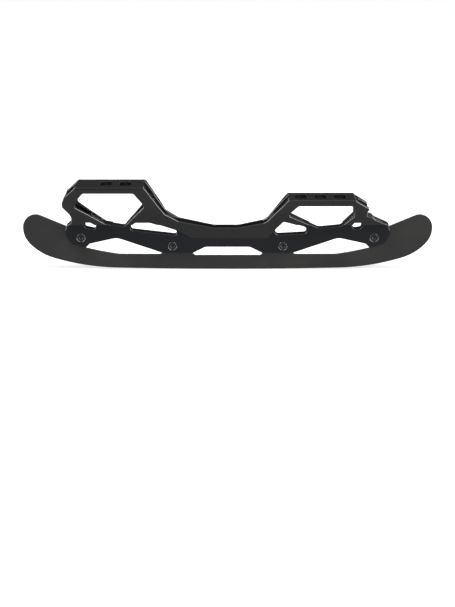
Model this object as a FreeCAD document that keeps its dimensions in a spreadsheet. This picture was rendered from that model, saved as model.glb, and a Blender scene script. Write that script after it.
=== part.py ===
import FreeCAD, Part
import math
import os
import Sketcher

# An ice blade holder for an inline boot, in millimetres.
# +X points to the toe, +Z points up to the boot and the model is even about the XZ plane.
# The origin is the lowest point of the blade, half way along it.

DOC = FreeCAD.newDocument("BladeHolder")

# Driving dimensions: name, millimetres (or a plain number), what it is.
DIMENSIONS = [
    ("rear_top", 66.4, "height of the heel plate's upper face"),
    ("plate_step", 10.0, "from the heel plate's upper face down to the toe plate's"),
    ("heel_plate", 4.7, "thickness of the heel plate"),
    ("toe_plate", 4.8, "thickness of the toe plate, and of the web at its height"),
    ("edge_break", 1.5, "chamfer across both ends of each plate"),
    ("rear_half", 21.7, "half width across the heel plate"),
    ("heel_lip", 1.6, "height of the heel plate's upright edge"),
    ("front_half", 18.6, "half width across the toe plate"),
    ("shoulder_half", 17.9, "half width where the wall turns inwards"),
    ("shoulder_drop", 4.6, "from the toe plate's face down to that turn"),
    ("waist_half", 13.0, "half width at the upper waist"),
    ("waist_drop", 11.0, "from the toe plate's face down to the upper waist"),
    ("flank_half", 10.7, "half width at the lower waist"),
    ("flank_drop", 15.6, "from the toe plate's face down to the lower waist"),
    ("arch_half", 7.4, "half width at the arch floor"),
    ("arch_up", 33.3, "height of the arch floor"),
    ("bar_half", 5.3, "half thickness of the blade bar"),
    ("bar_up", 25.0, "height where the sloping walls meet the bar"),
    ("foot_up", 13.3, "height of the two middle feet"),
    ("hollow_half", 12.9, "half width of the hollow under the heel plate"),
    ("duct_half", 8.4, "half width of the hollow under the web"),
    ("duct_roof", 2.4, "web thickness over that hollow"),
    ("duct_rise", 5.4, "from the hollow's floor up to where its walls stand upright"),
    ("groove_half", 5.3, "half width of the hollow's narrow lower part"),
    ("groove_deep", 2.0, "depth of that narrow part"),
    ("floor_over", 1.6, "from the top of the milled bar up to the hollow's floor"),
    ("channel_floor", 29.6, "height of the floor of the channel along the arch"),
    ("rib_half", 3.9, "half thickness of the middle rib in the hollow"),
    ("rib_high", 6.0, "height of that rib above the hollow's floor"),
    ("heel_back", -117.6, "rear end of the heel plate"),
    ("heel_front", -62.6, "front end of the heel plate"),
    ("toe_back", 45.2, "rear end of the toe plate"),
    ("toe_front", 99.2, "front end of the toe plate"),
    ("slot_wide", 9.2, "width of a boot slot"),
    ("slot_long", 21.0, "length of a boot slot, across the frame"),
    ("slot_pitch", 15.0, "from one boot slot to the next"),
    ("boot_span", 165.0, "from the rearmost heel slot to the middle toe slot"),
    ("toe_slot", 71.5, "middle toe slot"),
    ("tail_notch_half", 9.1, "half width of the notch in the tail"),
    ("toe_notch_half", 7.0, "half width of the notch in the toe plate"),
    ("rib_step_up", 35.5, "height of the step milled in the rib"),
    ("milled_up", 35.4, "height up to which the bar is milled thin"),
    ("slot_gap", 0.3, "clearance between the blade's upper edges and its slot"),
    ("tab_inside", 8.3, "from an end screw to its tab's inner edge"),
    ("tab_outside", 2.1, "from an end screw to where its tab meets the blade's sloping edge"),
    ("end_tab_up", 29.4, "height of the end tabs"),
    ("mid_tab_outside", 7.1, "from an inner screw to its tab's outer edge"),
    ("mid_tab_inside", 14.9, "from an inner screw to its tab's inner edge"),
    ("tab_room", 1.3, "clearance in the slot beyond an inner tab's outer edge"),
    ("mid_tab_up", 23.2, "height of the inner tabs"),
    ("runner_up", 10.6, "height of the blade between its inner tabs"),
    ("blade_thick", 3.0, "blade thickness"),
    ("blade_fit", 0.05, "clearance on each side of the blade"),
    ("blade_reach", 157.9, "from the middle of the blade to its tip"),
    ("end_screw", 112.8, "from the middle to an end screw"),
    ("end_screw_up", 25.2, "height of the end screws"),
    ("lobe_reach", 11.1, "from an end screw to the end of its lobe"),
    ("lobe_top", 35.2, "height where an end lobe starts to round off"),
    ("foot_reach", 7.8, "from an inner screw to the outer end of its foot"),
    ("foot_back", 15.9, "from an inner screw to the inner end of its foot"),
    ("mid_screw", 42.5, "from the middle to an inner screw"),
    ("mid_screw_up", 18.7, "height of the inner screws"),
    ("head_round", 6.2, "diameter of a screw head"),
    ("head_deep", 1.7, "thickness of a screw head"),
    ("shank_round", 3.6, "diameter of a screw shank"),
    ("sleeve_round", 5.0, "diameter of a sleeve nut's barrel"),
    ("sleeve_cap", 2.9, "solid end of the sleeve nut, its head included"),
    ("bolt_fit", 0.05, "clearance around a barrel, a shank and a head"),
    ("socket_key", 2.5, "key size of the hexagon socket"),
    ("socket_deep", 1.2, "depth of the hexagon socket"),
]


class Amount:
    """A length that keeps its number and the expression that a constraint is bound to."""

    def __init__(self, number, words):
        self.number = number
        self.words = words

    def __add__(self, other):
        other = amount(other)
        return Amount(self.number + other.number, "(%s + %s)" % (self.words, other.words))

    def __sub__(self, other):
        other = amount(other)
        return Amount(self.number - other.number, "(%s - %s)" % (self.words, other.words))

    def __mul__(self, factor):
        return Amount(self.number * factor, "%s * %s" % (self.words, factor))

    def __neg__(self):
        return self * -1


def amount(value):
    if isinstance(value, Amount):
        return value
    return Amount(float(value), "(%s)" % value)


def make_sheet():
    """The sheet of driving dimensions, one alias for each row."""
    sheet = DOC.addObject("Spreadsheet::Sheet", "Sizes")
    for row, (name, number, words) in enumerate(DIMENSIONS, start=1):
        sheet.set("A%d" % row, words)
        sheet.set("B%d" % row, str(number))
        sheet.setAlias("B%d" % row, name)
    DOC.recompute()
    return sheet


SHEET = make_sheet()
SIZE = {name: Amount(number, "Sizes." + name) for name, number, words in DIMENSIONS}


def bind(thing, field, value):
    thing.setExpression(field, value.words)


def make_body(label):
    body = DOC.addObject("PartDesign::Body", label)
    body.Label = label
    return body


def origin_plane(body, role):
    return [feature for feature in body.Origin.OriginFeatures if feature.Role == role][0]


def make_sketch(body, name, role, lift=None):
    """A sketch on one of the body's own origin planes, lifted along the plane's normal."""
    sketch = body.newObject("Sketcher::SketchObject", name)
    sketch.AttachmentSupport = [(origin_plane(body, role), "")]
    sketch.MapMode = "FlatFace"
    if lift is not None:
        sketch.AttachmentOffset = FreeCAD.Placement(FreeCAD.Vector(0, 0, lift.number), FreeCAD.Rotation())
        bind(sketch, "AttachmentOffset.Base.z", lift)
    return sketch


def ties_to_origin(geometry, end, across, up):
    """Two distances from the sketch's origin that hold one point."""
    return [
        (Sketcher.Constraint("DistanceX", -1, 1, geometry, end, across.number), across),
        (Sketcher.Constraint("DistanceY", -1, 1, geometry, end, up.number), up),
    ]


def add_ties(sketch, ties):
    """Adds the constraints in one go and binds those that carry a size."""
    first = sketch.ConstraintCount
    sketch.addConstraint([constraint for constraint, value in ties])
    for index, (constraint, value) in enumerate(ties):
        if value is not None:
            bind(sketch, "Constraints[%d]" % (first + index), value)


def corner_arc(before, here, after, radius):
    """The tangent arc of a rounded corner: where it starts, where it ends, the arc, and its turn."""
    inward = (before - here).normalize()
    outward = (after - here).normalize()
    half_angle = inward.getAngle(outward) / 2
    run = radius / math.tan(half_angle)
    start, end = here + inward * run, here + outward * run
    centre = here + (inward + outward).normalize() * (radius / math.sin(half_angle))
    turns_left = inward.cross(outward).z < 0
    first, last = (start, end) if turns_left else (end, start)
    angles = [math.atan2(point.y - centre.y, point.x - centre.x) for point in (first, last)]
    circle = Part.Circle(centre, FreeCAD.Vector(0, 0, 1), radius)
    return start, end, Part.ArcOfCircle(circle, angles[0], angles[1]), turns_left


def add_outline(sketch, corners):
    """A closed outline from (across, up) or (across, up, corner radius)."""
    first = sketch.GeometryCount
    places = [(amount(corner[0]), amount(corner[1])) for corner in corners]
    points = [FreeCAD.Vector(across.number, up.number, 0) for across, up in places]
    count = len(points)
    starts, ends = list(points), [points[(index + 1) % count] for index in range(count)]
    arcs, marks, ties = [], [], []
    for index, corner in enumerate(corners):
        line, line_before = first + index, first + (index - 1) % count
        if len(corner) < 3:
            ties.append((Sketcher.Constraint("Coincident", line_before, 2, line, 1), None))
            ties += ties_to_origin(line, 1, *places[index])
            continue
        radius = amount(corner[2])
        start, end, arc, turns_left = corner_arc(
            points[index - 1], points[index], points[(index + 1) % count], radius.number)
        ends[index - 1], starts[index] = start, end
        arc_index = first + count + len(arcs)
        arcs.append(arc)
        entry, leave = (1, 2) if turns_left else (2, 1)
        ties.append((Sketcher.Constraint("Tangent", line_before, 2, arc_index, entry), None))
        ties.append((Sketcher.Constraint("Tangent", line, 1, arc_index, leave), None))
        ties.append((Sketcher.Constraint("Radius", arc_index, radius.number), radius))
        marks.append((index, line_before, line))
    lines = [Part.LineSegment(starts[index], ends[index]) for index in range(count)]
    sketch.addGeometry(lines + arcs, False)
    sketch.addGeometry([Part.Point(points[index]) for index, before, after in marks], True)
    for order, (index, before, after) in enumerate(marks):
        mark = first + count + len(arcs) + order
        ties.append((Sketcher.Constraint("PointOnObject", mark, 1, before), None))
        ties.append((Sketcher.Constraint("PointOnObject", mark, 1, after), None))
        ties += ties_to_origin(mark, 1, *places[index])
    add_ties(sketch, ties)


def add_circle(sketch, across, up, diameter):
    index = sketch.addGeometry(Part.Circle(
        FreeCAD.Vector(across.number, up.number, 0), FreeCAD.Vector(0, 0, 1), diameter.number / 2), False)
    ties = ties_to_origin(index, 3, across, up)
    ties.append((Sketcher.Constraint("Diameter", index, diameter.number), diameter))
    add_ties(sketch, ties)


def add_slot(sketch, place):
    """A boot slot, lying across the frame, with half-round ends."""
    first = sketch.GeometryCount
    radius = SIZE["slot_wide"] * 0.5
    run = SIZE["slot_long"] * 0.5 - radius
    left, right = (place - radius).number, (place + radius).number
    low, high = FreeCAD.Vector(place.number, -run.number, 0), FreeCAD.Vector(place.number, run.number, 0)
    axis = FreeCAD.Vector(0, 0, 1)
    sketch.addGeometry([
        Part.LineSegment(FreeCAD.Vector(left, low.y, 0), FreeCAD.Vector(left, high.y, 0)),
        Part.LineSegment(FreeCAD.Vector(right, high.y, 0), FreeCAD.Vector(right, low.y, 0)),
        Part.ArcOfCircle(Part.Circle(low, axis, radius.number), math.pi, 2 * math.pi),
        Part.ArcOfCircle(Part.Circle(high, axis, radius.number), 0, math.pi),
    ], False)
    left_side, right_side, low_end, high_end = range(first, first + 4)
    ties = ties_to_origin(low_end, 3, place, -run) + ties_to_origin(high_end, 3, place, run)
    ties += [
        (Sketcher.Constraint("Radius", low_end, radius.number), radius),
        (Sketcher.Constraint("Radius", high_end, radius.number), radius),
        (Sketcher.Constraint("Tangent", left_side, 1, low_end, 1), None),
        (Sketcher.Constraint("Tangent", left_side, 2, high_end, 2), None),
        (Sketcher.Constraint("Tangent", right_side, 1, high_end, 1), None),
        (Sketcher.Constraint("Tangent", right_side, 2, low_end, 2), None),
    ]
    add_ties(sketch, ties)


def mirrored(corners):
    """The same outline on the other side of the sketch's upright axis."""
    return [(-amount(corner[0]),) + tuple(corner[1:]) for corner in reversed(corners)]


def pad(body, sketch, name, length, both_ways=True, backwards=False):
    feature = body.newObject("PartDesign::Pad", name)
    feature.Profile = sketch
    feature.Midplane = both_ways
    feature.Reversed = backwards
    bind(feature, "Length", length)
    DOC.recompute()
    return feature


def cut(body, sketch, name, length=None, both_ways=False, backwards=False):
    """A pocket that has to take something away; without a length it runs right through."""
    before = body.Shape.Volume
    feature = body.newObject("PartDesign::Pocket", name)
    feature.Profile = sketch
    feature.Midplane = both_ways
    feature.Reversed = backwards
    if length is None:
        feature.Type = "ThroughAll"
    else:
        bind(feature, "Length", length)
    DOC.recompute()
    if body.Shape.Volume > before - 0.01:
        raise RuntimeError(name + " cuts nothing")
    return feature


rear_top = SIZE["rear_top"]
front_top = rear_top - SIZE["plate_step"]
heel_back, heel_front = SIZE["heel_back"], SIZE["heel_front"]
toe_back, toe_front = SIZE["toe_back"], SIZE["toe_front"]
web_low = front_top - SIZE["toe_plate"]
edge_break = SIZE["edge_break"]
end_screw, lobe_top, foot_up = SIZE["end_screw"], SIZE["lobe_top"], SIZE["foot_up"]
lobe_front = end_screw + SIZE["lobe_reach"]
hollow_floor = SIZE["milled_up"] + SIZE["floor_over"]

# Cutters run clear of the stock: how far out, how high and how low they reach.
STOCK_LENGTH = 260.0
beyond, sky, ground = amount(140.0), rear_top + 15.0, amount(5.0)

# How far a cutter runs on behind the face that it breaks through.
OVERRUN = 4.0

# The blade's upper corner at its tip, before it is rounded.
tip_out, tip_top = SIZE["blade_reach"] * 0.9975, SIZE["blade_reach"] * 0.2982

# Radius of the rockered running edge over the blade's reach: about 3.6 m on this one.
ROCKER_RATIO = 23.0


def frame_section():
    """Half of the extrusion's outer section, from the middle outwards and down."""
    return [
        (SIZE["rear_half"], rear_top),
        (SIZE["rear_half"], rear_top - SIZE["heel_lip"]),
        (SIZE["front_half"], front_top),
        (SIZE["shoulder_half"], front_top - SIZE["shoulder_drop"]),
        (SIZE["waist_half"], front_top - SIZE["waist_drop"]),
        (SIZE["flank_half"], front_top - SIZE["flank_drop"]),
        (SIZE["arch_half"], SIZE["arch_up"]),
        (SIZE["bar_half"], SIZE["bar_up"]),
        (SIZE["bar_half"], SIZE["foot_up"]),
    ]


def hollow_section():
    """The closed hollow between the heel plate and the web."""
    low = front_top
    high = rear_top - SIZE["heel_plate"]
    half = SIZE["hollow_half"]
    return [(-half, low, 1.0), (half, low, 1.0), (half, high, 1.0), (-half, high, 1.0)]


def duct_section():
    """The hollow under the web, with the rib standing in its middle."""
    roof = front_top - SIZE["duct_roof"]
    right = [
        (SIZE["duct_half"], roof, 3.0),
        (SIZE["duct_half"], hollow_floor + SIZE["duct_rise"]),
        (SIZE["groove_half"], hollow_floor + SIZE["groove_deep"]),
        (SIZE["groove_half"], hollow_floor),
        (SIZE["rib_half"], hollow_floor),
        (SIZE["rib_half"], hollow_floor + SIZE["rib_high"], 0.6),
    ]
    return right + mirrored(right)


def above_arch():
    """What is milled away between the plates and over the toe plate."""
    arch = SIZE["arch_up"]
    return [
        (heel_front - edge_break, sky),
        (heel_front - edge_break, rear_top),
        (heel_front, rear_top - edge_break),
        (heel_front + 14.5, arch + 11.2, 3.0),
        (heel_front + 24.7, arch + 5.4, 3.0),
        (heel_front + 51.6, arch, 20.0),
        (toe_back - 36.6, arch, 20.0),
        (toe_back - 17.6, arch + 3.8),
        (toe_back - 14.4, arch + 5.7),
        (toe_back, front_top - edge_break),
        (toe_back + edge_break, front_top),
        (beyond, front_top),
        (beyond, sky),
    ]


def before_toe():
    """What is milled away in front of the toe plate, down to the front lobe."""
    return [
        (toe_front - edge_break, front_top),
        (toe_front, front_top - edge_break),
        (toe_front + 9.0, front_top - 6.8, 0.8),
        (toe_front + 9.0, front_top - 8.4, 0.8),
        (toe_front + 7.8, front_top - 9.8),
        (toe_front + 7.8, front_top - 13.4, 0.8),
        (end_screw - 1.4, lobe_top + 6.4),
        (end_screw + 0.6, lobe_top + 4.5, 1.0),
        (lobe_front, lobe_top),
        (beyond, lobe_top),
        (beyond, front_top),
    ]


def behind_heel():
    """What is milled away behind the heel plate, down to the rear lobe."""
    return [
        (-beyond, rear_top),
        (-beyond, lobe_top - 0.8),
        (-lobe_front - 0.3, lobe_top - 0.8),
        (heel_back - 2.6, lobe_top + 2.0),
        (heel_back - 2.2, lobe_top + 6.4, 2.0),
        (heel_back - 3.6, lobe_top + 9.2),
        (heel_back - 8.6, rear_top - 15.9, 1.5),
        (heel_back - 8.9, rear_top - 12.4, 1.0),
        (heel_back - 7.2, rear_top - 7.6),
        (heel_back - 5.9, rear_top - 6.8),
        (heel_back, rear_top - edge_break),
        (heel_back + edge_break, rear_top),
    ]


def under_lobe():
    """What is milled away under one end lobe and the bar beside it, on the toe's side."""
    lobe = SIZE["end_screw_up"]
    foot_end = SIZE["mid_screw"] + SIZE["foot_reach"]
    return [
        (beyond, lobe_top + 5.0),
        (lobe_front - 0.2, lobe_top + 5.0),
        (lobe_front, lobe_top, 1.2),
        (end_screw + 12.4, lobe + 2.3, 9.0),
        (end_screw + 7.6, lobe - 4.9, 7.0),
        (end_screw - 3.2, lobe - 8.0, 1.0),
        (end_screw - 5.6, lobe - 5.0, 2.0),
        (end_screw - 27.5, lobe - 0.1, 12.0),
        (foot_end, foot_up),
        (foot_end, ground),
        (beyond, ground),
    ]


def under_middle():
    """What is milled away between and under the two middle feet."""
    foot_end = SIZE["mid_screw"] + SIZE["foot_reach"]
    foot_start = SIZE["mid_screw"] - SIZE["foot_back"]
    half = [(foot_end, foot_up), (foot_start, foot_up), (foot_start - 9.6, foot_up + 4.7, 4.0)]
    return [(foot_end, ground)] + half + mirrored(half) + [(-foot_end, ground)]


def blade_ceiling():
    """The blade slot in an end lobe, open below and in front."""
    fit = SIZE["slot_gap"]
    tab = end_screw - SIZE["tab_inside"] - fit
    roof = SIZE["end_tab_up"] + fit
    return [
        (tab, ground),
        (tab, roof),
        (end_screw + SIZE["tab_outside"], roof),
        (tip_out, tip_top + fit),
        (tip_out, ground),
    ]


def mill_bar(body):
    """Takes both sides of the bar down to its thickness, up to the windows."""
    high = SIZE["milled_up"]
    arch = SIZE["arch_up"]
    bar_up = SIZE["bar_up"]
    corners = [
        (-beyond, high), (heel_front + 10.9, high), (heel_front + 25.6, arch - 3.1), (heel_front + 34.7, bar_up),
        (heel_front + 34.7, ground), (-beyond, ground)]
    others = [
        (beyond, high), (toe_back + 3.8, high), (toe_back - 8.2, arch - 1.9), (toe_back - 14.2, bar_up),
        (toe_back - 14.2, ground), (beyond, ground)]
    for side, lift, backwards in (("near", SIZE["bar_half"], True), ("far", -SIZE["bar_half"], False)):
        sketch = make_sketch(body, "bar_outline_" + side, "XZ_Plane", lift)
        add_outline(sketch, corners)
        add_outline(sketch, others)
        cut(body, sketch, "bar_milling_" + side, backwards=backwards)


def plan_cut(body, name, top, depth, outlines, draw=add_outline):
    """A pocket milled straight down from a height; draw puts one outline in the sketch."""
    sketch = make_sketch(body, name + "_outline", "XY_Plane", top)
    for outline in outlines:
        draw(sketch, outline)
    return cut(body, sketch, name, depth)


def notch(back, front, half, corner):
    """A notch even about the middle, open at its rear or front end."""
    back, front, half = amount(back), amount(front), amount(half)
    return [(back, -half, corner), (front, -half, corner), (front, half, corner), (back, half, corner)]


def toe_slots():
    middle, pitch = SIZE["toe_slot"], SIZE["slot_pitch"]
    return [middle - pitch, middle, middle + pitch]


def heel_slots():
    rear = SIZE["toe_slot"] - SIZE["boot_span"]
    return [rear, rear + SIZE["slot_pitch"]]


def screw_places():
    """Each screw's name and its centre, from the rear to the front."""
    return [
        ("rear", -SIZE["end_screw"], SIZE["end_screw_up"]),
        ("rear_inner", -SIZE["mid_screw"], SIZE["mid_screw_up"]),
        ("front_inner", SIZE["mid_screw"], SIZE["mid_screw_up"]),
        ("front", SIZE["end_screw"], SIZE["end_screw_up"]),
    ]


def cut_screw_seats(body):
    """A hole for each barrel, and a flat seat for the heads on both faces of the bar."""
    fit = SIZE["bolt_fit"] * 2
    holes = make_sketch(body, "screw_holes_outline", "XZ_Plane")
    for name, across, up in screw_places():
        add_circle(holes, across, up, SIZE["sleeve_round"] + fit)
    cut(body, holes, "screw_holes", both_ways=True)
    for side, lift, backwards in (("near", SIZE["bar_half"], False), ("far", -SIZE["bar_half"], True)):
        seats = make_sketch(body, "screw_seats_outline_" + side, "XZ_Plane", lift)
        for name, across, up in screw_places():
            add_circle(seats, across, up, SIZE["head_round"] + fit)
        cut(body, seats, "screw_seats_" + side, SIZE["head_deep"], backwards=backwards)


def window_outlines():
    """The openings milled right across the frame, from the tail to the toe."""
    heel_low = rear_top - SIZE["heel_plate"]
    bar = SIZE["milled_up"]
    rear_eye = [
        (end_screw * -1 + 2.9, bar + 2.1, 1.5), (end_screw * -1 + 7.2, bar + 2.1, 2.5),
        (end_screw * -1 + 11.7, bar - 0.6, 1.5), (end_screw * -1 + 10.8, bar - 4.2, 1.5),
        (end_screw * -1 + 2.9, bar - 2.4, 1.5)]
    rear_window = [
        (heel_back + 7.2, heel_low, 2.5), (heel_front - 9.3, heel_low, 2.5), (heel_front - 0.8, heel_low - 10.4, 2.5),
        (heel_front - 16.9, bar - 1.5, 2.5), (heel_front - 31.4, bar + 0.9, 4.0),
        (heel_back + 0.7, heel_low - 11.3, 2.0), (heel_back + 3.0, heel_low - 4.9, 4.0)]
    rear_inner_window = [
        (heel_front - 8.2, bar + 1.9, 1.5), (heel_front + 2.8, bar + 1.9, 10.0), (heel_front + 23.5, bar - 4.6, 2.0),
        (heel_front + 23.5, bar - 8.6, 2.0), (heel_front - 12.1, bar - 4.5, 2.0), (heel_front - 12.1, bar - 1.0, 1.0)]
    front_inner_window = [
        (toe_back - 13.3, bar - 8.6, 3.0), (toe_back - 2.2, bar + 2.9, 2.5), (toe_back + 15.6, bar - 2.2, 3.0),
        (toe_back + 15.6, bar - 7.0, 2.0)]
    front_window = [
        (toe_back + 9.0, web_low, 3.0), (toe_front - 1.9, web_low, 3.5), (toe_front - 1.9, web_low - 8.8, 2.0),
        (toe_front - 12.0, bar - 1.3, 4.0), (toe_back + 24.9, bar - 3.0, 6.0), (toe_back + 0.9, web_low - 8.3, 2.0)]
    front_eye = [
        (end_screw - 15.5, bar + 1.9, 1.5), (end_screw - 9.5, bar + 1.9, 1.5), (end_screw - 9.7, bar - 3.0, 2.0),
        (end_screw - 15.3, bar - 3.6, 1.5), (end_screw - 17.6, bar - 1.3, 1.0)]
    return {
        "rear_windows": [rear_eye, rear_window, rear_inner_window],
        "front_windows": [front_inner_window, front_window, front_eye],
    }


def side_cuts(body, groups):
    """Mills each named group of outlines right across the frame."""
    for name, outlines in groups.items():
        sketch = make_sketch(body, name + "_outline", "XZ_Plane")
        for corners in outlines:
            add_outline(sketch, corners)
        cut(body, sketch, name, both_ways=True)


def make_frame():
    body = make_body("holder_frame")
    half = frame_section()
    section = make_sketch(body, "section", "YZ_Plane")
    add_outline(section, half + mirrored(half))
    add_outline(section, hollow_section())
    add_outline(section, duct_section())
    pad(body, section, "extrusion", amount(STOCK_LENGTH))

    milled = {
        "arch": [above_arch()],
        "toe_end": [before_toe()],
        "heel_end": [behind_heel()],
        "front_underside": [under_lobe()],
        "rear_underside": [mirrored(under_lobe())],
        "middle_underside": [under_middle()],
    }
    side_cuts(body, milled)
    mill_bar(body)

    hollow, duct, groove = SIZE["hollow_half"], SIZE["duct_half"], SIZE["groove_half"]
    rib_up = hollow_floor + SIZE["rib_high"]
    plan_cut(body, "heel_plate_notches", rear_top, rear_top - front_top, [
        notch(-beyond, heel_back + 2.0, hollow, 1.5), notch(heel_front - 2.4, heel_front + 22.9, hollow, 2.5)])
    plan_cut(body, "web_notches", front_top, SIZE["toe_plate"] + OVERRUN, [
        notch(-beyond, heel_back - 2.1, SIZE["tail_notch_half"], 4.0),
        notch(heel_front + 2.3, heel_front + 22.9, duct, 2.5),
        notch(toe_back - 10.8, toe_back + 2.0, SIZE["toe_notch_half"], 1.8)])
    plan_cut(body, "rib_step", rib_up, rib_up - SIZE["rib_step_up"], [
        notch(heel_front + 17.4, toe_back - 6.5, groove, 0.5)])
    plan_cut(body, "arch_channel", rib_up, rib_up - SIZE["channel_floor"], [
        notch(heel_front + 27.6, toe_back - 12.7, groove, 2.0)])
    plan_cut(body, "toe_slots", front_top, SIZE["toe_plate"] + OVERRUN, toe_slots(), add_slot)
    plan_cut(body, "heel_slots", rear_top, SIZE["heel_plate"] + OVERRUN, heel_slots(), add_slot)

    slot_width = SIZE["blade_thick"] + SIZE["blade_fit"] * 2
    blade_room = make_sketch(body, "blade_slot_outline", "XZ_Plane")
    add_outline(blade_room, blade_ceiling())
    add_outline(blade_room, mirrored(blade_ceiling()))
    middle = SIZE["mid_screw"] + SIZE["mid_tab_outside"] + SIZE["tab_room"]
    roof = SIZE["mid_tab_up"] + SIZE["slot_gap"]
    add_outline(blade_room, [(-middle, ground), (middle, ground), (middle, roof), (-middle, roof)])
    cut(body, blade_room, "blade_slot", slot_width, both_ways=True)
    cut_screw_seats(body)
    side_cuts(body, window_outlines())
    return body


def make_blade():
    """The rockered runner with its four tabs; one half is drawn and mirrored."""
    body = make_body("blade")
    sketch = make_sketch(body, "half_outline", "XZ_Plane")
    reach = SIZE["blade_reach"]
    tab_top, tab_low = SIZE["end_tab_up"], SIZE["end_screw_up"]
    tab_in, tab_out = end_screw - SIZE["tab_inside"], end_screw + SIZE["tab_outside"]
    mid_screw, mid_up = SIZE["mid_screw"], SIZE["mid_tab_up"]
    mid_out, mid_in = mid_screw + SIZE["mid_tab_outside"], mid_screw - SIZE["mid_tab_inside"]
    runner_top = SIZE["runner_up"]
    running_edge = [
        (0.0, 0.0),
        (reach * 0.2533, 0.0, reach * ROCKER_RATIO),
        (reach * 0.6954, reach * 0.0095, reach * 1.164),
        (reach * 0.9170, reach * 0.0747, reach * 0.2590),
        (reach, reach * 0.1596, reach * 0.1150),
    ]
    upper_edge = [
        (tip_out, tip_top, reach * 0.0608),
        (tab_out, tab_top),
        (tab_in, tab_top, 2.0),
        (tab_in, tab_low - 3.7),
        (end_screw - 3.0, tab_low - 8.7),
        (end_screw - 15.7, tab_low - 11.5, 30.0),
        (end_screw - 28.8, runner_top + 0.9, 30.0),
        (mid_out + 2.4, runner_top + 0.8, 2.0),
        (mid_out, runner_top + 2.3, 1.0),
        (mid_out - 2.8, mid_up, 2.0),
        (mid_in + 2.4, mid_up, 2.0),
        (mid_in, runner_top + 2.3, 1.0),
        (mid_in - 2.2, runner_top, 2.0),
        (0.0, runner_top),
    ]
    add_outline(sketch, running_edge + upper_edge)
    half = pad(body, sketch, "runner", SIZE["blade_thick"])
    mirror = body.newObject("PartDesign::Mirrored", "other_half")
    mirror.Originals = [half]
    mirror.MirrorPlane = (origin_plane(body, "YZ_Plane"), [""])
    body.Tip = mirror
    DOC.recompute()
    holes = make_sketch(body, "holes_outline", "XZ_Plane")
    for name, across, up in screw_places():
        add_circle(holes, across, up, SIZE["sleeve_round"] + SIZE["bolt_fit"] * 2)
    cut(body, holes, "holes", both_ways=True)
    return body


def cylinder(label, across, up, start, length, diameter):
    """A cylinder along Y that starts at a bound distance from the middle plane."""
    thing = DOC.addObject("Part::Cylinder", label)
    bind(thing, "Radius", diameter * 0.5)
    bind(thing, "Height", length)
    thing.Placement = FreeCAD.Placement(
        FreeCAD.Vector(across.number, start.number, up.number), FreeCAD.Rotation(FreeCAD.Vector(1, 0, 0), -90))
    bind(thing, "Placement.Base.x", across)
    bind(thing, "Placement.Base.y", start)
    bind(thing, "Placement.Base.z", up)
    return thing


def joined(label, kind, pieces):
    """A named boolean of the pieces: Part::MultiFuse, or Part::Cut of the first by the second."""
    thing = DOC.addObject(kind, label)
    if kind == "Part::MultiFuse":
        thing.Shapes = pieces
    else:
        thing.Base, thing.Tool = pieces
    thing.Label = label
    return thing


def hexagon_key(label, across, up, start, depth):
    """The hexagon socket that a key fits, cut from the head's face."""
    key = DOC.addObject("Part::Prism", label)
    key.Polygon = 6
    bind(key, "Circumradius", SIZE["socket_key"] * (1 / math.sqrt(3)))
    bind(key, "Height", depth)
    key.Placement = FreeCAD.Placement(
        FreeCAD.Vector(across.number, start.number, up.number), FreeCAD.Rotation(FreeCAD.Vector(1, 0, 0), -90))
    bind(key, "Placement.Base.x", across)
    bind(key, "Placement.Base.y", start)
    bind(key, "Placement.Base.z", up)
    return key


def make_screw(name, across, up):
    """The clamp screw: a flat head in the near face, its shank inside the sleeve nut."""
    face = -SIZE["bar_half"]
    head = cylinder(name + "_head", across, up, face, SIZE["head_deep"], SIZE["head_round"])
    reach = SIZE["bar_half"] * 2 - SIZE["head_deep"] - SIZE["sleeve_cap"]
    shank = cylinder(name + "_shank", across, up, face, reach + SIZE["head_deep"], SIZE["shank_round"])
    whole = joined(name + "_blank", "Part::MultiFuse", [head, shank])
    key = hexagon_key(name + "_key", across, up, face, SIZE["socket_deep"])
    return joined("clamp_screw_" + name, "Part::Cut", [whole, key])


def make_sleeve(name, across, up):
    """The sleeve nut: a flat head in the far face and a barrel that carries the blade."""
    face = SIZE["bar_half"]
    length = SIZE["bar_half"] * 2 - SIZE["head_deep"]
    barrel = cylinder(name + "_barrel", across, up, SIZE["head_deep"] - SIZE["bar_half"], length, SIZE["sleeve_round"])
    flange = cylinder(name + "_flange", across, up, face - SIZE["head_deep"], SIZE["head_deep"], SIZE["head_round"])
    whole = joined(name + "_sleeve_blank", "Part::MultiFuse", [barrel, flange])
    fit = SIZE["bolt_fit"] * 2
    bore_length = length - SIZE["sleeve_cap"] + SIZE["bolt_fit"]
    bore = cylinder(
        name + "_bore", across, up, SIZE["head_deep"] - SIZE["bar_half"], bore_length, SIZE["shank_round"] + fit)
    key = hexagon_key(name + "_far_key", across, up, face - SIZE["socket_deep"], SIZE["socket_deep"])
    tools = joined(name + "_sleeve_cuts", "Part::MultiFuse", [bore, key])
    return joined("sleeve_nut_" + name, "Part::Cut", [whole, tools])


def check_and_write(nodes):
    for thing in DOC.Objects:
        if "Invalid" in thing.State or "Error" in thing.State:
            raise RuntimeError("failed: " + thing.Name)
    os.makedirs("parts", exist_ok=True)
    for node in nodes:
        shape = node.Shape
        if shape.isNull() or not shape.isValid():
            raise RuntimeError("bad shape: " + node.Label)
        if len(shape.Solids) != 1:
            raise RuntimeError("not one solid: " + node.Label)
        shape.exportStep("parts/%s.step" % node.Label)
        print(node.Label, round(shape.Volume, 1), shape.BoundBox)


nodes = [make_frame(), make_blade()]
for name, across, up in screw_places():
    nodes.append(make_screw(name, across, up))
    nodes.append(make_sleeve(name, across, up))
DOC.recompute()
check_and_write(nodes)
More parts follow.
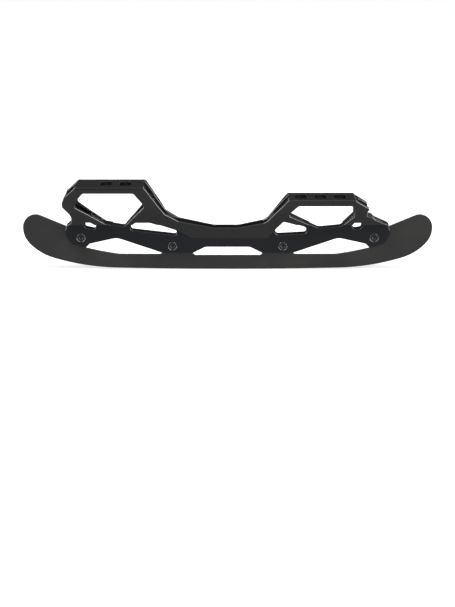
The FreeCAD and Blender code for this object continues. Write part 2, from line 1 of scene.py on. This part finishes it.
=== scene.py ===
# %% [markdown]
# # A blade holder for a speed skate
#
# The real object is one long piece of black anodised aluminium that carries a thin steel runner. All its
# shapes are hard and exact, so they come from the solid model, and this file gives them finishes, light and
# a camera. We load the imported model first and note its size, because nothing that we add may stand outside
# it.

# %% Load the model
from math import cos, pi, radians, sin

import bpy
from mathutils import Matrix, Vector


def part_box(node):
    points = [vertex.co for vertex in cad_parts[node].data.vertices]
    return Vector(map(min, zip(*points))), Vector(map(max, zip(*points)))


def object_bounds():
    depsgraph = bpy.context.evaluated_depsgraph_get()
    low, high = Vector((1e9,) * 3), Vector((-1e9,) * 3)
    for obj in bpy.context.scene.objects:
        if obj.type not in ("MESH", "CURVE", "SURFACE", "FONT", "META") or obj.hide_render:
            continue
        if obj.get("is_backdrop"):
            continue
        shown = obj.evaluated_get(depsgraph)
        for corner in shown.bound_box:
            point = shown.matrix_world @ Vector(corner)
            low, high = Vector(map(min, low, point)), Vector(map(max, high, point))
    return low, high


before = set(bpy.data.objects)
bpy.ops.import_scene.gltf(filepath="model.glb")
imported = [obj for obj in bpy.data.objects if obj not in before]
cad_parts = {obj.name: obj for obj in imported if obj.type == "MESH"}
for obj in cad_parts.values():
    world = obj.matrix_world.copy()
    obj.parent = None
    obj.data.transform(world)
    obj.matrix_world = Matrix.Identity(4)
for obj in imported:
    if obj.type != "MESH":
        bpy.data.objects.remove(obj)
model_box = [list(corner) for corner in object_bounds()]
MM = 0.001
for name in sorted(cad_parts):
    low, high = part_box(name)
    print(name, [round((b - a) / MM, 1) for a, b in zip(low, high)], "mm")

# %% [markdown]
# ## A small vocabulary for materials
#
# Every finish here is a graph of nodes. Writing each link by hand soon hides the idea, so short helpers do
# the plumbing. The first four add a node with its values, work out a number, stretch a mask over a range of
# numbers, and mix two colours.

# %% Helpers for nodes


def add_node(tree, kind, values=(), **settings):
    """A node of this kind, with its settings and with values or links for its inputs."""
    made = tree.nodes.new(kind)
    for name, value in settings.items():
        setattr(made, name, value)
    for name, value in dict(values).items():
        if isinstance(value, bpy.types.NodeSocket):
            tree.links.new(value, made.inputs[name])
        else:
            made.inputs[name].default_value = value
    return made


def work_out(tree, operation, *values):
    """The result of this operation on one or two numbers or links."""
    return add_node(tree, "ShaderNodeMath", dict(enumerate(values)), operation=operation).outputs[0]


def ranged(tree, mask, low, high):
    """The number that goes from low to high as the mask goes from none to one."""
    mapped = add_node(tree, "ShaderNodeMapRange", {"Value": mask, "To Min": low, "To Max": high})
    return mapped.outputs["Result"]


def mix_colours(tree, mask, first, second):
    """The colour that goes from the first to the second as the mask goes from none to one."""
    mixed = add_node(tree, "ShaderNodeMix", {"Factor": mask, "A": first, "B": second}, data_type="RGBA")
    return mixed.outputs["Result"]


print("node helpers ready")

# %% [markdown]
# Three more helpers deal in whole graphs. They start a material, start a group with named sockets, and
# place a group in a material with its own values. A group is how several finishes share one effect.

# %% Helpers for materials and groups
FLOAT = "NodeSocketFloat"
VECTOR = "NodeSocketVector"
ORIGIN = (0.0, 0.0, 0.0)
UPWARDS = (0.0, 0.0, 1.0)


def new_finish(name, **constants):
    """A material with a bare Principled shader that has these constant values."""
    finish = bpy.data.materials.new(name)
    finish.use_nodes = True
    shader = finish.node_tree.nodes["Principled BSDF"]
    for socket, value in constants.items():
        shader.inputs[socket.replace("_", " ")].default_value = value
    return finish, finish.node_tree, shader


def new_group(name, inputs, outputs):
    """A shader node group with inputs given as (name, kind, value) and outputs as (name, kind)."""
    group = bpy.data.node_groups.new(name, "ShaderNodeTree")
    for label, kind, value in inputs:
        socket = group.interface.new_socket(label, in_out="INPUT", socket_type=kind)
        socket.default_value = value
    for label, kind in outputs:
        group.interface.new_socket(label, in_out="OUTPUT", socket_type=kind)
    taken = group.nodes.new("NodeGroupInput").outputs
    given = group.nodes.new("NodeGroupOutput").inputs
    return group, taken, given


def use_group(tree, group, **values):
    """The outputs of this group, placed in a material with its values given by socket name."""
    named = {name.replace("_", " "): value for name, value in values.items()}
    return add_node(tree, "ShaderNodeGroup", named, node_tree=group).outputs


print("material and group helpers ready")

# %% [markdown]
# ## Draw lines and grain
#
# An extruded or ground surface carries fine lines along its length, and anodising leaves a very small grain
# on top. Painted pictures would need a map for each face. Noise in the object's own space needs none and
# has a real size: stretched along X it makes lines, unstretched it makes grain. All three finishes use this
# one group.

# %% A group for lines and grain
lines_group, taken, given = new_group(
    "lines_and_grain",
    [("Place", VECTOR, ORIGIN), ("Lines per metre", FLOAT, 900.0), ("Stretch", FLOAT, 0.01),
     ("Grain per metre", FLOAT, 3000.0), ("Grain share", FLOAT, 0.4)],
    [("Height", FLOAT), ("Mask", FLOAT)])
stretch = add_node(lines_group, "ShaderNodeCombineXYZ", {"X": taken["Stretch"], "Y": 1.0, "Z": 1.0})
drawn = add_node(lines_group, "ShaderNodeVectorMath", {0: taken["Place"], 1: stretch.outputs[0]},
                 operation="MULTIPLY")
lines = add_node(lines_group, "ShaderNodeTexNoise",
                 {"Vector": drawn.outputs[0], "Scale": taken["Lines per metre"], "Detail": 3.0})
grain = add_node(lines_group, "ShaderNodeTexNoise",
                 {"Vector": taken["Place"], "Scale": taken["Grain per metre"], "Detail": 2.0})
both = add_node(lines_group, "ShaderNodeMix",
                {"Factor": taken["Grain share"], "A": lines.outputs["Fac"], "B": grain.outputs["Fac"]})
lines_group.links.new(both.outputs["Result"], given["Height"])
lines_group.links.new(lines.outputs["Fac"], given["Mask"])
print("lines_and_grain has", len(lines_group.nodes), "nodes")

# %% [markdown]
# ## Slow drift of tone
#
# A handled metal part is never one even tone: the dye takes a little differently from place to place, and
# fingers leave slightly duller patches. This group turns slow noise into a mask with a soft edge for any
# finish to use.

# %% A group for slow patches
patch_group, taken, given = new_group(
    "slow_patches",
    [("Place", VECTOR, ORIGIN), ("Patches per metre", FLOAT, 20.0), ("From", FLOAT, 0.4), ("To", FLOAT, 0.6)],
    [("Mask", FLOAT)])
patches = add_node(patch_group, "ShaderNodeTexNoise",
                   {"Vector": taken["Place"], "Scale": taken["Patches per metre"], "Detail": 2.0})
soft_edge = add_node(patch_group, "ShaderNodeMapRange",
                     {"Value": patches.outputs["Fac"], "From Min": taken["From"], "From Max": taken["To"]},
                     interpolation_type="SMOOTHSTEP")
patch_group.links.new(soft_edge.outputs["Result"], given["Mask"])
print("slow_patches has", len(patch_group.nodes), "nodes")

# %% [markdown]
# ## Painted light by facing
#
# The frame's tone changes with the way each face looks, as painted light and shade. Walls that slope to the
# side without turning towards X at all get a lighter tone as a painted reflection, and upright flanks a
# darker, bluish painted shade. They could be marked face by face, but direction alone tells them apart. So a
# group reads the face's own normal and gives a mask. A second mask marks all the flanks.

# %% A group for painted light by facing
MOST_ALONG_X = 0.02
facing_group, taken, given = new_group(
    "painted_light_by_facing",
    [("Face", VECTOR, UPWARDS), ("Steepest", FLOAT, 0.995), ("Flattest", FLOAT, 0.3)],
    [("Mask", FLOAT), ("Sideways", FLOAT)])
parts = add_node(facing_group, "ShaderNodeSeparateXYZ", {"Vector": taken["Face"]}).outputs
across = work_out(facing_group, "ABSOLUTE", parts["Y"])
along = work_out(facing_group, "ABSOLUTE", parts["X"])
not_upright = work_out(facing_group, "LESS_THAN", across, taken["Steepest"])
not_flat = work_out(facing_group, "GREATER_THAN", across, taken["Flattest"])
straight = work_out(facing_group, "LESS_THAN", along, MOST_ALONG_X)
sloping = work_out(facing_group, "MULTIPLY", not_upright, not_flat)
# This mask marks the sloping side walls that get a lighter tone as a painted reflection.
lit_slope = work_out(facing_group, "MULTIPLY", sloping, straight)
facing_group.links.new(lit_slope, given["Mask"])
facing_group.links.new(not_flat, given["Sideways"])
print("painted_light_by_facing has", len(facing_group.nodes), "nodes")

# %% [markdown]
# ## Where an edge is broken
#
# A maker breaks each sharp edge with a small chamfer, and that thin face catches the light from above. A
# Bevel node gives a soft normal near an edge. This group turns it into the one flat direction of a chamfer,
# half way between the face and the way that the soft normal turns. Its mask also paints a highlight there: a
# light, metallic colour. Only edges that look upwards get it, because the lamp stands above.

# %% A group for broken edges, first the chamfer's direction
edge_group, taken, given = new_group(
    "chamfer_and_painted_highlight",
    [("Face", VECTOR, UPWARDS), ("Rounded", VECTOR, UPWARDS), ("From", FLOAT, 0.1), ("To", FLOAT, 0.3)],
    [("Normal", VECTOR), ("Mask", FLOAT)])
turned_by = add_node(edge_group, "ShaderNodeVectorMath", {0: taken["Rounded"], 1: taken["Face"]},
                     operation="SUBTRACT")
way = add_node(edge_group, "ShaderNodeVectorMath", {0: turned_by.outputs[0]}, operation="NORMALIZE")
half_way = add_node(edge_group, "ShaderNodeVectorMath", {0: way.outputs[0], 1: taken["Face"]},
                    operation="ADD")
chamfer = add_node(edge_group, "ShaderNodeVectorMath", {0: half_way.outputs[0]}, operation="NORMALIZE")
turn = add_node(edge_group, "ShaderNodeVectorMath", {0: turned_by.outputs[0]}, operation="LENGTH")
near_edge = add_node(edge_group, "ShaderNodeMapRange",
                     {"Value": turn.outputs["Value"], "From Min": taken["From"], "From Max": taken["To"]})
print("chamfer_and_painted_highlight so far has", len(edge_group.nodes), "nodes")

# %% [markdown]
# The mask is a painted highlight: a light, metallic colour on edges that look up towards the lamp. It is
# strong on sloping edges and weak on level ones, so it grows with how far the edge's way turns towards X.

# %% The group for broken edges, then the painted highlight
LEAST_UPWARDS = 0.1
LEVEL_EDGE = 0.2
SLOPING_EDGE = 0.6
LEVEL_SHINE = 0.08
slope = add_node(edge_group, "ShaderNodeSeparateXYZ", {"Vector": way.outputs[0]}).outputs
upward = work_out(edge_group, "GREATER_THAN", slope["Z"], LEAST_UPWARDS)
on_edge = work_out(edge_group, "MULTIPLY", near_edge.outputs["Result"], upward)
slant = work_out(edge_group, "ABSOLUTE", slope["X"])
shine = add_node(edge_group, "ShaderNodeMapRange",
                 {"Value": slant, "From Min": LEVEL_EDGE, "From Max": SLOPING_EDGE,
                  "To Min": LEVEL_SHINE, "To Max": 1.0})
# The painted highlight: how far the edge turns into a light, metallic grey.
painted_highlight = work_out(edge_group, "MULTIPLY", on_edge, shine.outputs["Result"])
normal = add_node(edge_group, "ShaderNodeMix", {"Factor": painted_highlight, "A": taken["Face"], "B": chamfer.outputs[0]},
                  data_type="VECTOR")
edge_group.links.new(normal.outputs["Result"], given["Normal"])
edge_group.links.new(painted_highlight, given["Mask"])
print("chamfer_and_painted_highlight has", len(edge_group.nodes), "nodes")

# %% [markdown]
# ## Black anodised aluminium
#
# Anodising grows a hard layer on the metal and black dye fills its pores. The layer scatters more than it
# mirrors, so the shader is non-metallic and matte. We start with the masks that it needs: the drawn lines,
# the drift of the dye, the way each face looks for painted light and shade, and the broken edges for a
# painted highlight. The Bevel node stays outside the group, in the material itself.

# %% The frame's finish, first its masks
BEVEL_SAMPLES = 8
anodised, tree, shader = new_finish("black_anodised_aluminium", Specular_IOR_Level=0.0, Coat_Roughness=0.35)
place = add_node(tree, "ShaderNodeTexCoord").outputs["Object"]
face = add_node(tree, "ShaderNodeNewGeometry").outputs["True Normal"]
drawn_lines = use_group(tree, lines_group, Place=place, Lines_per_metre=1400.0, Stretch=0.012,
                        Grain_share=0.55)
dye = use_group(tree, patch_group, Place=place, Patches_per_metre=16.0, From=0.35, To=0.7)
facing = use_group(tree, facing_group, Face=face)
rounded = add_node(tree, "ShaderNodeBevel", {"Radius": 0.9 * MM}, samples=BEVEL_SAMPLES).outputs["Normal"]
chamfer_highlight = use_group(tree, edge_group, Face=face, Rounded=rounded)
print("anodised masks:", len(tree.nodes), "nodes")

# %% [markdown]
# The colours follow from the masks. The differences by facing are painted light: flanks get a bluish black
# as painted shade, other faces a neutral black, and walls that slope to the side a lighter tone as a painted
# reflection. At an upward broken edge a painted highlight turns the shader into a light, metallic grey.
# A thin clear seal lies over everything, and more of it on the flanks.

# %% The frame's finish, then its colours and relief
# The bluish pair is painted shade on the flanks, the lighter pair a painted reflection on side slopes.
FLANK_PAINTED_SHADE = ((0.0080, 0.0092, 0.0114, 1.0), (0.0102, 0.0115, 0.0132, 1.0))
SLOPE_PAINTED_REFLECTION = ((0.0205, 0.0205, 0.0212, 1.0), (0.0250, 0.0248, 0.0246, 1.0))
NEUTRAL_DYE = (0.0138, 0.0138, 0.0138, 1.0)
EDGE_HIGHLIGHT_GREY = (0.45, 0.45, 0.45, 1.0)
flank_shade_tone = mix_colours(tree, dye["Mask"], *FLANK_PAINTED_SHADE)
flank_or_level_tone = mix_colours(tree, facing["Sideways"], NEUTRAL_DYE, flank_shade_tone)
slope_reflection_tone = mix_colours(tree, dye["Mask"], *SLOPE_PAINTED_REFLECTION)
facing_painted_tone = mix_colours(tree, facing["Mask"], flank_or_level_tone, slope_reflection_tone)
# A painted highlight: upward edges turn a light, metallic grey.
highlighted_tone = mix_colours(tree, chamfer_highlight["Mask"], facing_painted_tone, EDGE_HIGHLIGHT_GREY)
tree.links.new(highlighted_tone, shader.inputs["Base Color"])
tree.links.new(chamfer_highlight["Mask"], shader.inputs["Metallic"])
tree.links.new(ranged(tree, drawn_lines["Mask"], 0.38, 0.50), shader.inputs["Roughness"])
tree.links.new(ranged(tree, facing["Sideways"], 0.05, 0.2), shader.inputs["Coat Weight"])
relief = add_node(tree, "ShaderNodeBump", {"Height": drawn_lines["Height"], "Distance": 0.015 * MM,
                                           "Strength": 0.4, "Normal": chamfer_highlight["Normal"]})
tree.links.new(relief.outputs["Normal"], shader.inputs["Normal"])
print("anodised:", len(tree.nodes), "nodes")

# %% [markdown]
# ## Ground runner steel
#
# The runner is hardened steel, ground flat along its length and left with a dull dark finish. Most of its
# colour is in the reflection, as on any metal, and the grinding lines along X make that reflection soft and
# uneven.

# %% The blade's finish
STEEL = ((0.0290, 0.0285, 0.0280, 1.0), (0.0360, 0.0353, 0.0345, 1.0))
runner_steel, tree, shader = new_finish("dark_ground_steel", Metallic=0.7, Roughness=0.5,
                                        Specular_IOR_Level=0.2)
place = add_node(tree, "ShaderNodeTexCoord").outputs["Object"]
grinding = use_group(tree, lines_group, Place=place, Lines_per_metre=2600.0, Stretch=0.02, Grain_share=0.3)
stain = use_group(tree, patch_group, Place=place, Patches_per_metre=30.0, From=0.4, To=0.7)
tree.links.new(mix_colours(tree, stain["Mask"], *STEEL), shader.inputs["Base Color"])
tree.links.new(ranged(tree, grinding["Mask"], 0.42, 0.58), shader.inputs["Roughness"])
relief = add_node(tree, "ShaderNodeBump", {"Height": grinding["Height"], "Distance": 0.03 * MM,
                                           "Strength": 0.5})
tree.links.new(relief.outputs["Normal"], shader.inputs["Normal"])
print("runner steel:", len(tree.nodes), "nodes")

# %% [markdown]
# ## Blackened screw steel
#
# The clamp screws are steel with a thin black oxide. The rims of the small heads carry a painted glint: the
# group for broken edges turns them light and metallic, with a smaller bevel, and it starts at a smaller turn
# of the normal.

# %% The screws' finish
OXIDE = ((0.010, 0.010, 0.011, 1.0), (0.018, 0.018, 0.019, 1.0))
PAINTED_GLINT = (0.55, 0.55, 0.55, 1.0)
blackened, tree, shader = new_finish("blackened_screw_steel", Roughness=0.3, Specular_IOR_Level=0.15)
place = add_node(tree, "ShaderNodeTexCoord").outputs["Object"]
face = add_node(tree, "ShaderNodeNewGeometry").outputs["True Normal"]
turned = use_group(tree, lines_group, Place=place, Lines_per_metre=3000.0, Stretch=1.0, Grain_share=0.5)
rounded = add_node(tree, "ShaderNodeBevel", {"Radius": 0.35 * MM}, samples=BEVEL_SAMPLES).outputs["Normal"]
chamfer_highlight = use_group(tree, edge_group, Face=face, Rounded=rounded, From=0.05, To=0.2)
oxide_tone = mix_colours(tree, turned["Mask"], *OXIDE)
# The rims get a painted glint: a light, metallic colour where the edges look up.
tree.links.new(mix_colours(tree, chamfer_highlight["Mask"], oxide_tone, PAINTED_GLINT), shader.inputs["Base Color"])
tree.links.new(chamfer_highlight["Mask"], shader.inputs["Metallic"])
relief = add_node(tree, "ShaderNodeBump", {"Height": turned["Height"], "Distance": 0.02 * MM,
                                           "Strength": 0.4, "Normal": chamfer_highlight["Normal"]})
tree.links.new(relief.outputs["Normal"], shader.inputs["Normal"])
print("screw steel:", len(tree.nodes), "nodes")

# %% [markdown]
# ## Putting the finishes on
#
# Each solid takes its finish from the table: the holder and the blade have one each, and all the screws and
# nuts share the third. The table also gives a slot name, which nothing uses. The meshes stay as the solid
# model gives them.

# %% Give each piece its finish
FINISHES = {"holder_frame": (anodised, "anodised_frame"), "blade": (runner_steel, "blade_steel")}
for name, piece in sorted(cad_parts.items()):
    finish, slot_name = FINISHES.get(name, (blackened, "screw_steel"))
    piece.data.materials.clear()
    piece.data.materials.append(finish)
    print(name, "wears", finish.name)

# %% [markdown]
# ## Floor
#
# The object stands alone on white. Stronger lamps would whiten the floor but also fade the black metal. So
# the floor is pale paper that takes a soft shadow, and it glows only where a ray sees it directly: from the
# camera, in a reflection or through glass. It lies a hair below the runner, so the two surfaces never meet.

# %% The pale floor
WHITE = (1.0, 1.0, 1.0, 1.0)
PAPER = (0.86, 0.86, 0.86, 1.0)
FLOOR_SIZE = 30.0
FLOOR_DROP = 0.2 * MM
FLOOR_GLOW = 0.66


def seen_directly(tree):
    """One for camera, glossy and transmission rays, none for the diffuse rays that carry light."""
    rays = add_node(tree, "ShaderNodeLightPath").outputs
    eye = work_out(tree, "MAXIMUM", rays["Is Camera Ray"], rays["Is Glossy Ray"])
    return work_out(tree, "MAXIMUM", eye, rays["Is Transmission Ray"])


bpy.ops.mesh.primitive_plane_add(size=FLOOR_SIZE, location=(0.0, 0.0, -FLOOR_DROP))
floor = bpy.context.object
floor.name = "pale_floor"
floor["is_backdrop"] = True
paper, tree, shader = new_finish("white_paper", Base_Color=PAPER, Roughness=0.9)
glow = add_node(tree, "ShaderNodeEmission", {"Color": WHITE, "Strength": FLOOR_GLOW})
glowing = add_node(tree, "ShaderNodeAddShader", {0: shader.outputs[0], 1: glow.outputs[0]})
shown = add_node(tree, "ShaderNodeMixShader", {"Fac": seen_directly(tree), 1: shader.outputs[0],
                                               2: glowing.outputs[0]})
tree.links.new(shown.outputs[0], tree.nodes["Material Output"].inputs["Surface"])
floor.data.materials.append(paper)
print("floor", floor.dimensions[:2], "m")

# %% [markdown]
# ## Surroundings
#
# The world works as the floor does. A direct ray sees plain white, and the rays that carry light find a
# dim, very slightly cool room, which fills the shadows without washing them out.

# %% The world
ROOM = (0.95, 0.97, 1.0, 1.0)
ROOM_LIGHT = 0.32
world = bpy.data.worlds.new("white_room")
bpy.context.scene.world = world
world.use_nodes = True
tree = world.node_tree
tree.nodes.clear()
white = add_node(tree, "ShaderNodeBackground", {"Color": WHITE, "Strength": 1.0})
dim = add_node(tree, "ShaderNodeBackground", {"Color": ROOM, "Strength": ROOM_LIGHT})
shown = add_node(tree, "ShaderNodeMixShader", {"Fac": seen_directly(tree), 1: dim.outputs[0],
                                               2: white.outputs[0]})
add_node(tree, "ShaderNodeOutputWorld", {"Surface": shown.outputs[0]})
print("world has", len(tree.nodes), "nodes")

# %% [markdown]
# ## Studio light
#
# One wide soft lamp stands above and a little in front, so every edge that looks up carries a bright line,
# as in a light tent. A second, weaker one from the side keeps the ends readable.

# %% Lamps
MIDDLE = (0.0, 0.0, 0.03)


def soft_lamp(name, place, size, watts):
    """A rectangular area lamp at this place, turned to the object's middle."""
    data = bpy.data.lights.new(name, "AREA")
    data.shape = "RECTANGLE"
    data.size, data.size_y = size
    data.energy = watts
    lamp = bpy.data.objects.new(name, data)
    bpy.context.scene.collection.objects.link(lamp)
    lamp.location = place
    lamp.rotation_mode = "QUATERNION"
    lamp.rotation_quaternion = (Vector(MIDDLE) - Vector(place)).to_track_quat("-Z", "Y")
    return lamp


lamps = [soft_lamp("top_lamp", place=(0.0, -0.5, 1.2), size=(1.6, 0.6), watts=16.0),
         soft_lamp("side_lamp", place=(1.4, -0.9, 0.7), size=(0.7, 0.7), watts=6.0)]
print("lamps:", [lamp.name for lamp in lamps])

# %% [markdown]
# ## Camera
#
# The camera looks straight at the side, from a little above, through a long lens that keeps the perspective
# flat. Aiming below the object sets its height in the frame, so the lens needs no shift.

# %% Camera
REACH = 1.7
PITCH = radians(11.8)
AIM = Vector((-0.0001, 0.0, -0.02771))
LENS_MM = 129.73
SENSOR_MM = 36.0
camera_data = bpy.data.cameras.new("camera")
camera_data.lens = LENS_MM
camera_data.sensor_width = SENSOR_MM
camera = bpy.data.objects.new("camera", camera_data)
bpy.context.scene.collection.objects.link(camera)
camera.location = AIM + REACH * Vector((0.0, -cos(PITCH), sin(PITCH)))
camera.rotation_euler = (pi / 2 - PITCH, 0.0, 0.0)
bpy.context.scene.camera = camera
bpy.context.scene.view_settings.view_transform = "Standard"
print("camera at", [round(v, 3) for v in camera.location])

# %% [markdown]
# ## The box of the dressed model
#
# The dressed model must stay inside the box of the solid one, so the script prints how far the corners of the
# dressed box move from those of the solid one.

# %% Print how far the box moves
shown_box = [list(corner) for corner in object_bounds()]
moved = [abs(a - b) / MM for model, dressed in zip(model_box, shown_box) for a, b in zip(model, dressed)]
print("the box's corners move by", max(moved), "mm")
